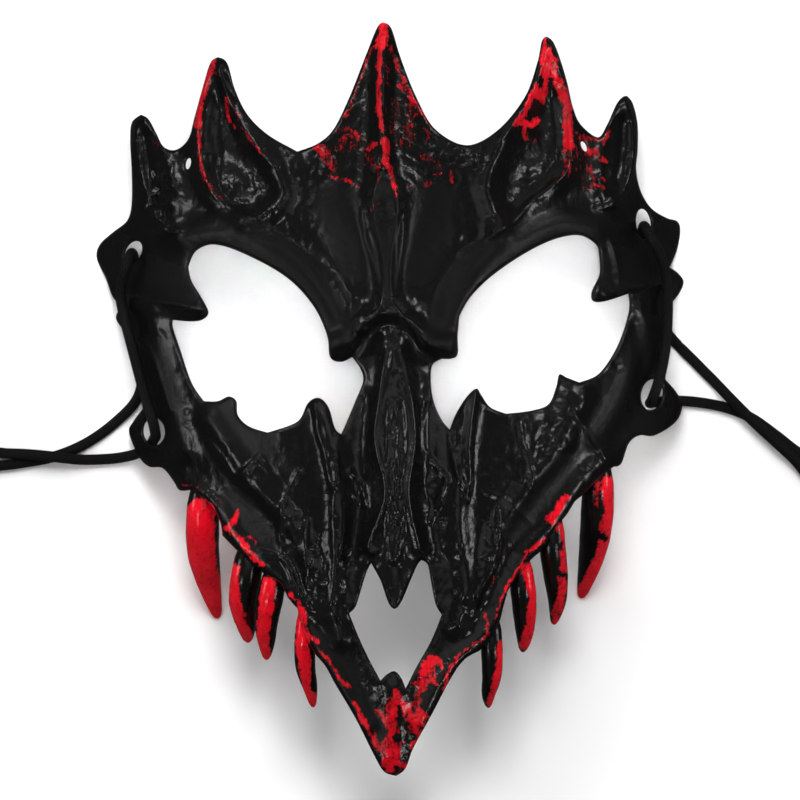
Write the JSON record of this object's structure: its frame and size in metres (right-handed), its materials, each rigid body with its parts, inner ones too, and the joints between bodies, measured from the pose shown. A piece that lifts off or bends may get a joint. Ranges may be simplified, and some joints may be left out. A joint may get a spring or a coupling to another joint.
{
  "type": "fanged half mask",
  "caption": "Moulded plastic monster half mask with crown spikes, pierced eyes, curved fangs along the jaw and round elastic ties.",
  "frame": {"origin": "middle of the shell's bounding box, on the floor that the mask lies on", "axes": "+X to the viewer's right, +Y to the crown, +Z out of the face"},
  "size_m": [0.3398, 0.24, 0.0801],
  "materials": {
    "black_plastic": "glossy black with dry-brushed red on spikes, rims, fangs and chin",
    "black_elastic": "black braided cover over rubber"
  },
  "bodies": {
    "root": {"mask_shell": "black_plastic", "left_cord": "black_elastic", "left_knot": "black_elastic", "right_cord": "black_elastic", "right_knot": "black_elastic"}
  },
  "joints": []
}
